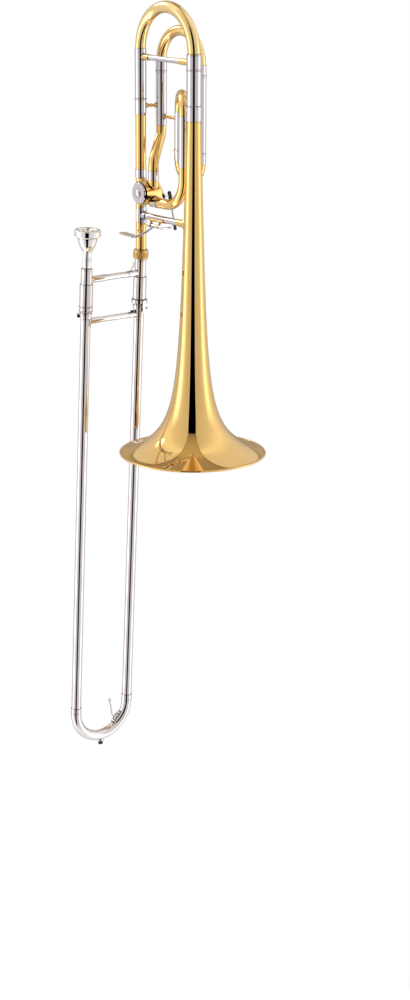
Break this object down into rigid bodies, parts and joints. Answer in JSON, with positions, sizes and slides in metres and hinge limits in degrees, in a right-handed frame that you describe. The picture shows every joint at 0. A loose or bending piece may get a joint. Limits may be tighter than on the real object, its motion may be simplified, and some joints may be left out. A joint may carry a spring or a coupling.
{
  "type": "trombone",
  "caption": "Tenor trombone with F attachment: flared bell, rotary valve with thumb lever, two tuning slides, hand slide with water key, and mouthpiece.",
  "frame": {"origin": "centre of the bell rim's lowest plane", "axes": "+Z along the bell axis from the rim towards the tuning slides; -X towards the neck pipe; -Y towards the mouthpiece side of the hand slide; +Y towards the F attachment"},
  "size_m": [0.2918, 0.225, 1.1537],
  "materials": {
    "lacquered_brass": "polished, clear lacquer",
    "plain_brass": "bare, satin",
    "nickel_silver": "polished, clear lacquer",
    "silver_plate": "mirror polish",
    "steel": "bright",
    "black_plastic": "moulded",
    "rubber": "matte",
    "cork": "natural"
  },
  "bodies": {
    "bell_section": {"bell": "lacquered_brass", "bell_rim_wire": "steel", "bell_ferrule": "nickel_silver", "bell_slide_sleeve": "nickel_silver", "bell_flange": "lacquered_brass", "neck_tube_upper": "lacquered_brass", "neck_slide_leg": "nickel_silver", "neck_pipe": "lacquered_brass", "neck_tenon": "nickel_silver", "valve_casing": "lacquered_brass", "valve_bearing_plate": "plain_brass", "valve_cap": "nickel_silver", "valve_ferrules": "nickel_silver", "stop_bumpers": "rubber", "f_inlet_pipe": "lacquered_brass", "f_return_bend": "lacquered_brass", "f_slide_sleeves": "nickel_silver", "loop_legs": "nickel_silver", "loop_bends": "lacquered_brass", "f_struts": "lacquered_brass", "hand_brace": "nickel_silver", "neck_saddle": "nickel_silver", "trigger_saddle": "lacquered_brass", "hinge_screw": "steel", "lever_spring": "steel"},
    "main_tuning_slide": {"tuning_bow": "lacquered_brass", "tuning_neck_sleeve": "nickel_silver", "tuning_bell_leg": "nickel_silver", "tuning_brace": "nickel_silver", "tuning_brace_ends": "lacquered_brass"},
    "f_tuning_slide": {"f_slide_bow": "lacquered_brass", "f_slide_legs": "nickel_silver"},
    "rotor_assembly": {"rotor": "plain_brass", "stop_arm": "nickel_silver", "stop_arm_screw": "steel"},
    "link": {"link_ball_ends": "black_plastic", "link_rod": "steel"},
    "thumb_lever": {"thumb_lever": "nickel_silver"},
    "lock_nut": {"lock_nut": "lacquered_brass"},
    "inner_slide": {"neck_receiver": "nickel_silver", "mouthpiece_receiver": "nickel_silver", "leadpipe": "plain_brass", "inner_tube_mouthpiece": "nickel_silver", "inner_tube_neck": "nickel_silver", "cork_barrels": "nickel_silver", "barrel_corks": "cork", "inner_brace": "nickel_silver"},
    "slide_lock": {"slide_lock": "nickel_silver"},
    "outer_slide": {"outer_tube_mouthpiece": "nickel_silver", "outer_tube_neck": "nickel_silver", "outer_ferrules": "nickel_silver", "outer_brace": "nickel_silver", "crook": "nickel_silver", "rubber_bumper": "rubber", "key_saddle": "nickel_silver", "key_hinge_screw": "steel", "key_spring": "steel"},
    "water_key": {"key_lever": "nickel_silver", "key_cork": "cork"},
    "mouthpiece": {"mouthpiece": "silver_plate"}
  },
  "joints": [
    {"name": "main_tuning_slide_pull", "type": "slide", "parent": "bell_section", "child": "main_tuning_slide", "axis": [0, 0, 1], "range_m": [0, 0.045]},
    {"name": "f_tuning_slide_pull", "type": "slide", "parent": "bell_section", "child": "f_tuning_slide", "axis": [0, 0, 1], "range_m": [0, 0.055]},
    {"name": "thumb_lever_press", "type": "hinge", "parent": "bell_section", "child": "thumb_lever", "pos_m": [-0.086, -0.005, 0.325], "axis": [1, 0, 0], "range_deg": [0, 34], "stiffness_Nm_per_rad": 0.12, "springref_deg": -28.65},
    {"name": "rotor_turn", "type": "hinge", "parent": "bell_section", "child": "rotor_assembly", "pos_m": [-0.107, 0, 0.371], "axis": [0, -1, 0], "range_deg": [0, 90]},
    {"name": "link_swing", "type": "hinge", "parent": "rotor_assembly", "child": "link", "pos_m": [-0.09476, 0.031, 0.36421], "axis": [0, -1, 0], "range_deg": [-86.5, 0]},
    {"name": "slide_section_swivel", "type": "hinge", "parent": "bell_section", "child": "inner_slide", "pos_m": [-0.12644, 0, 0.24947], "axis": [0.0572, 0, 0.9984], "range_deg": [-15, 15]},
    {"name": "lock_nut_turn", "type": "hinge", "parent": "bell_section", "child": "lock_nut", "pos_m": [-0.12484, 0, 0.27742], "axis": [0.0572, 0, 0.9984], "continuous": true},
    {"name": "hand_slide", "type": "slide", "parent": "inner_slide", "child": "outer_slide", "axis": [-0.0572, 0, -0.9984], "range_m": [0, 0.6]},
    {"name": "slide_lock_turn", "type": "hinge", "parent": "inner_slide", "child": "slide_lock", "pos_m": [-0.1289, 0, 0.20654], "axis": [0.0572, 0, 0.9984], "range_deg": [0, 24]},
    {"name": "water_key_press", "type": "hinge", "parent": "outer_slide", "child": "water_key", "pos_m": [-0.16741, -0.02173, -0.46541], "axis": [0.043, 0.6691, 0.742], "range_deg": [0, 14], "stiffness_Nm_per_rad": 0.02, "springref_deg": -28.65},
    {"name": "mouthpiece_pull", "type": "slide", "parent": "inner_slide", "child": "mouthpiece", "axis": [0.0572, 0, 0.9984], "range_m": [0, 0.03]}
  ],
  "couplings": [
    {"joint": "rotor_turn", "follows": "thumb_lever_press", "ratio": 2.6471},
    {"joint": "link_swing", "follows": "thumb_lever_press", "ratio": -2.5441}
  ]
}
